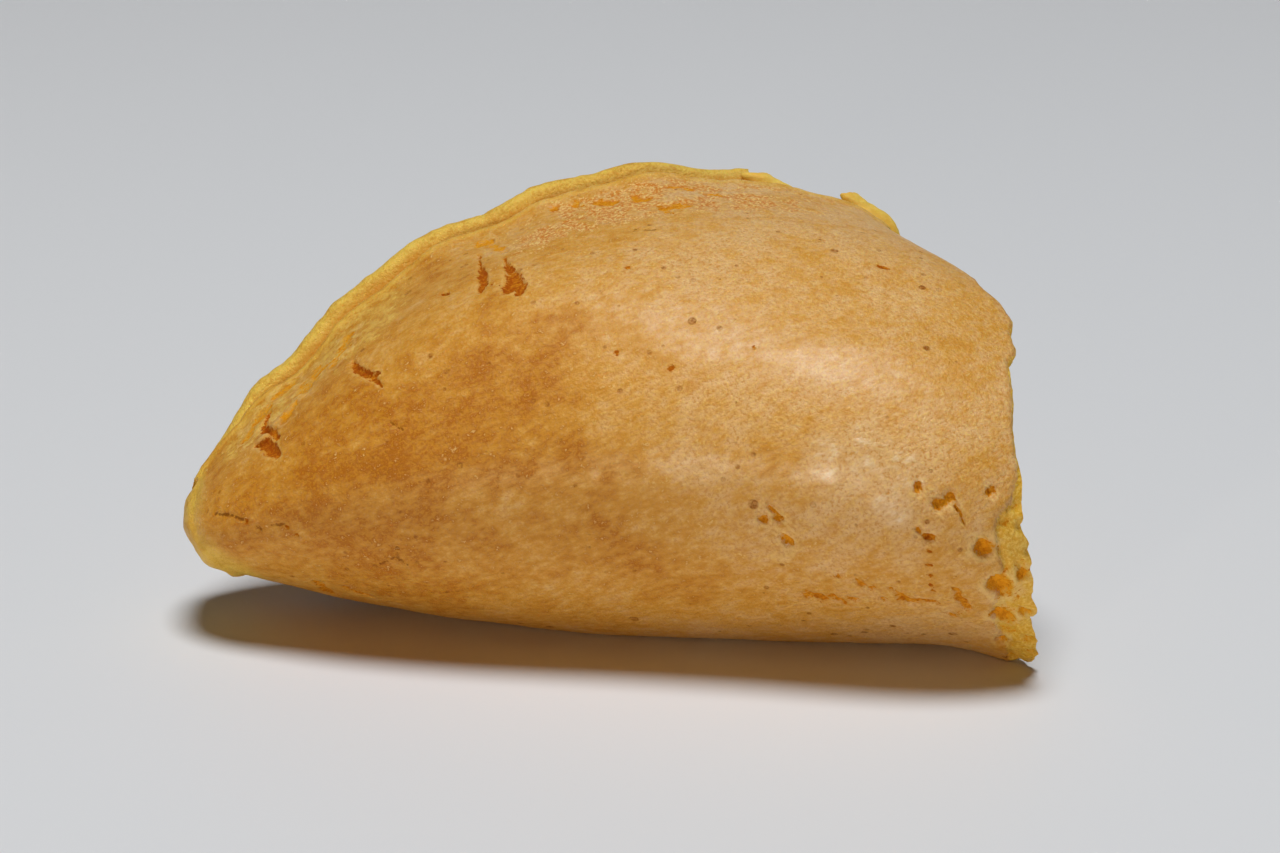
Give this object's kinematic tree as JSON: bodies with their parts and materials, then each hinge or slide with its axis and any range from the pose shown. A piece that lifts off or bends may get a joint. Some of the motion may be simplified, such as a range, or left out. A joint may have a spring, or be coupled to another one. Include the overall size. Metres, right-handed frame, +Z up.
{
  "type": "broken fortune cookie half",
  "caption": "Hollow half of a fortune cookie: a folded round wafer with a rounded fold, a pinched double rim, a blunt tip and an open broken mouth.",
  "frame": {"origin": "middle of the bottom of the bounding box, on the surface the half lies on", "axes": "+X out of the broken mouth and -X to the tip, -Y to the front wall, +Z up"},
  "size_m": [0.0474, 0.0272, 0.0234],
  "materials": {
    "baked_wafer": "golden baked wafer with a faint satin sheen"
  },
  "bodies": {
    "root": {"cookie_half": "baked_wafer"}
  },
  "joints": []
}
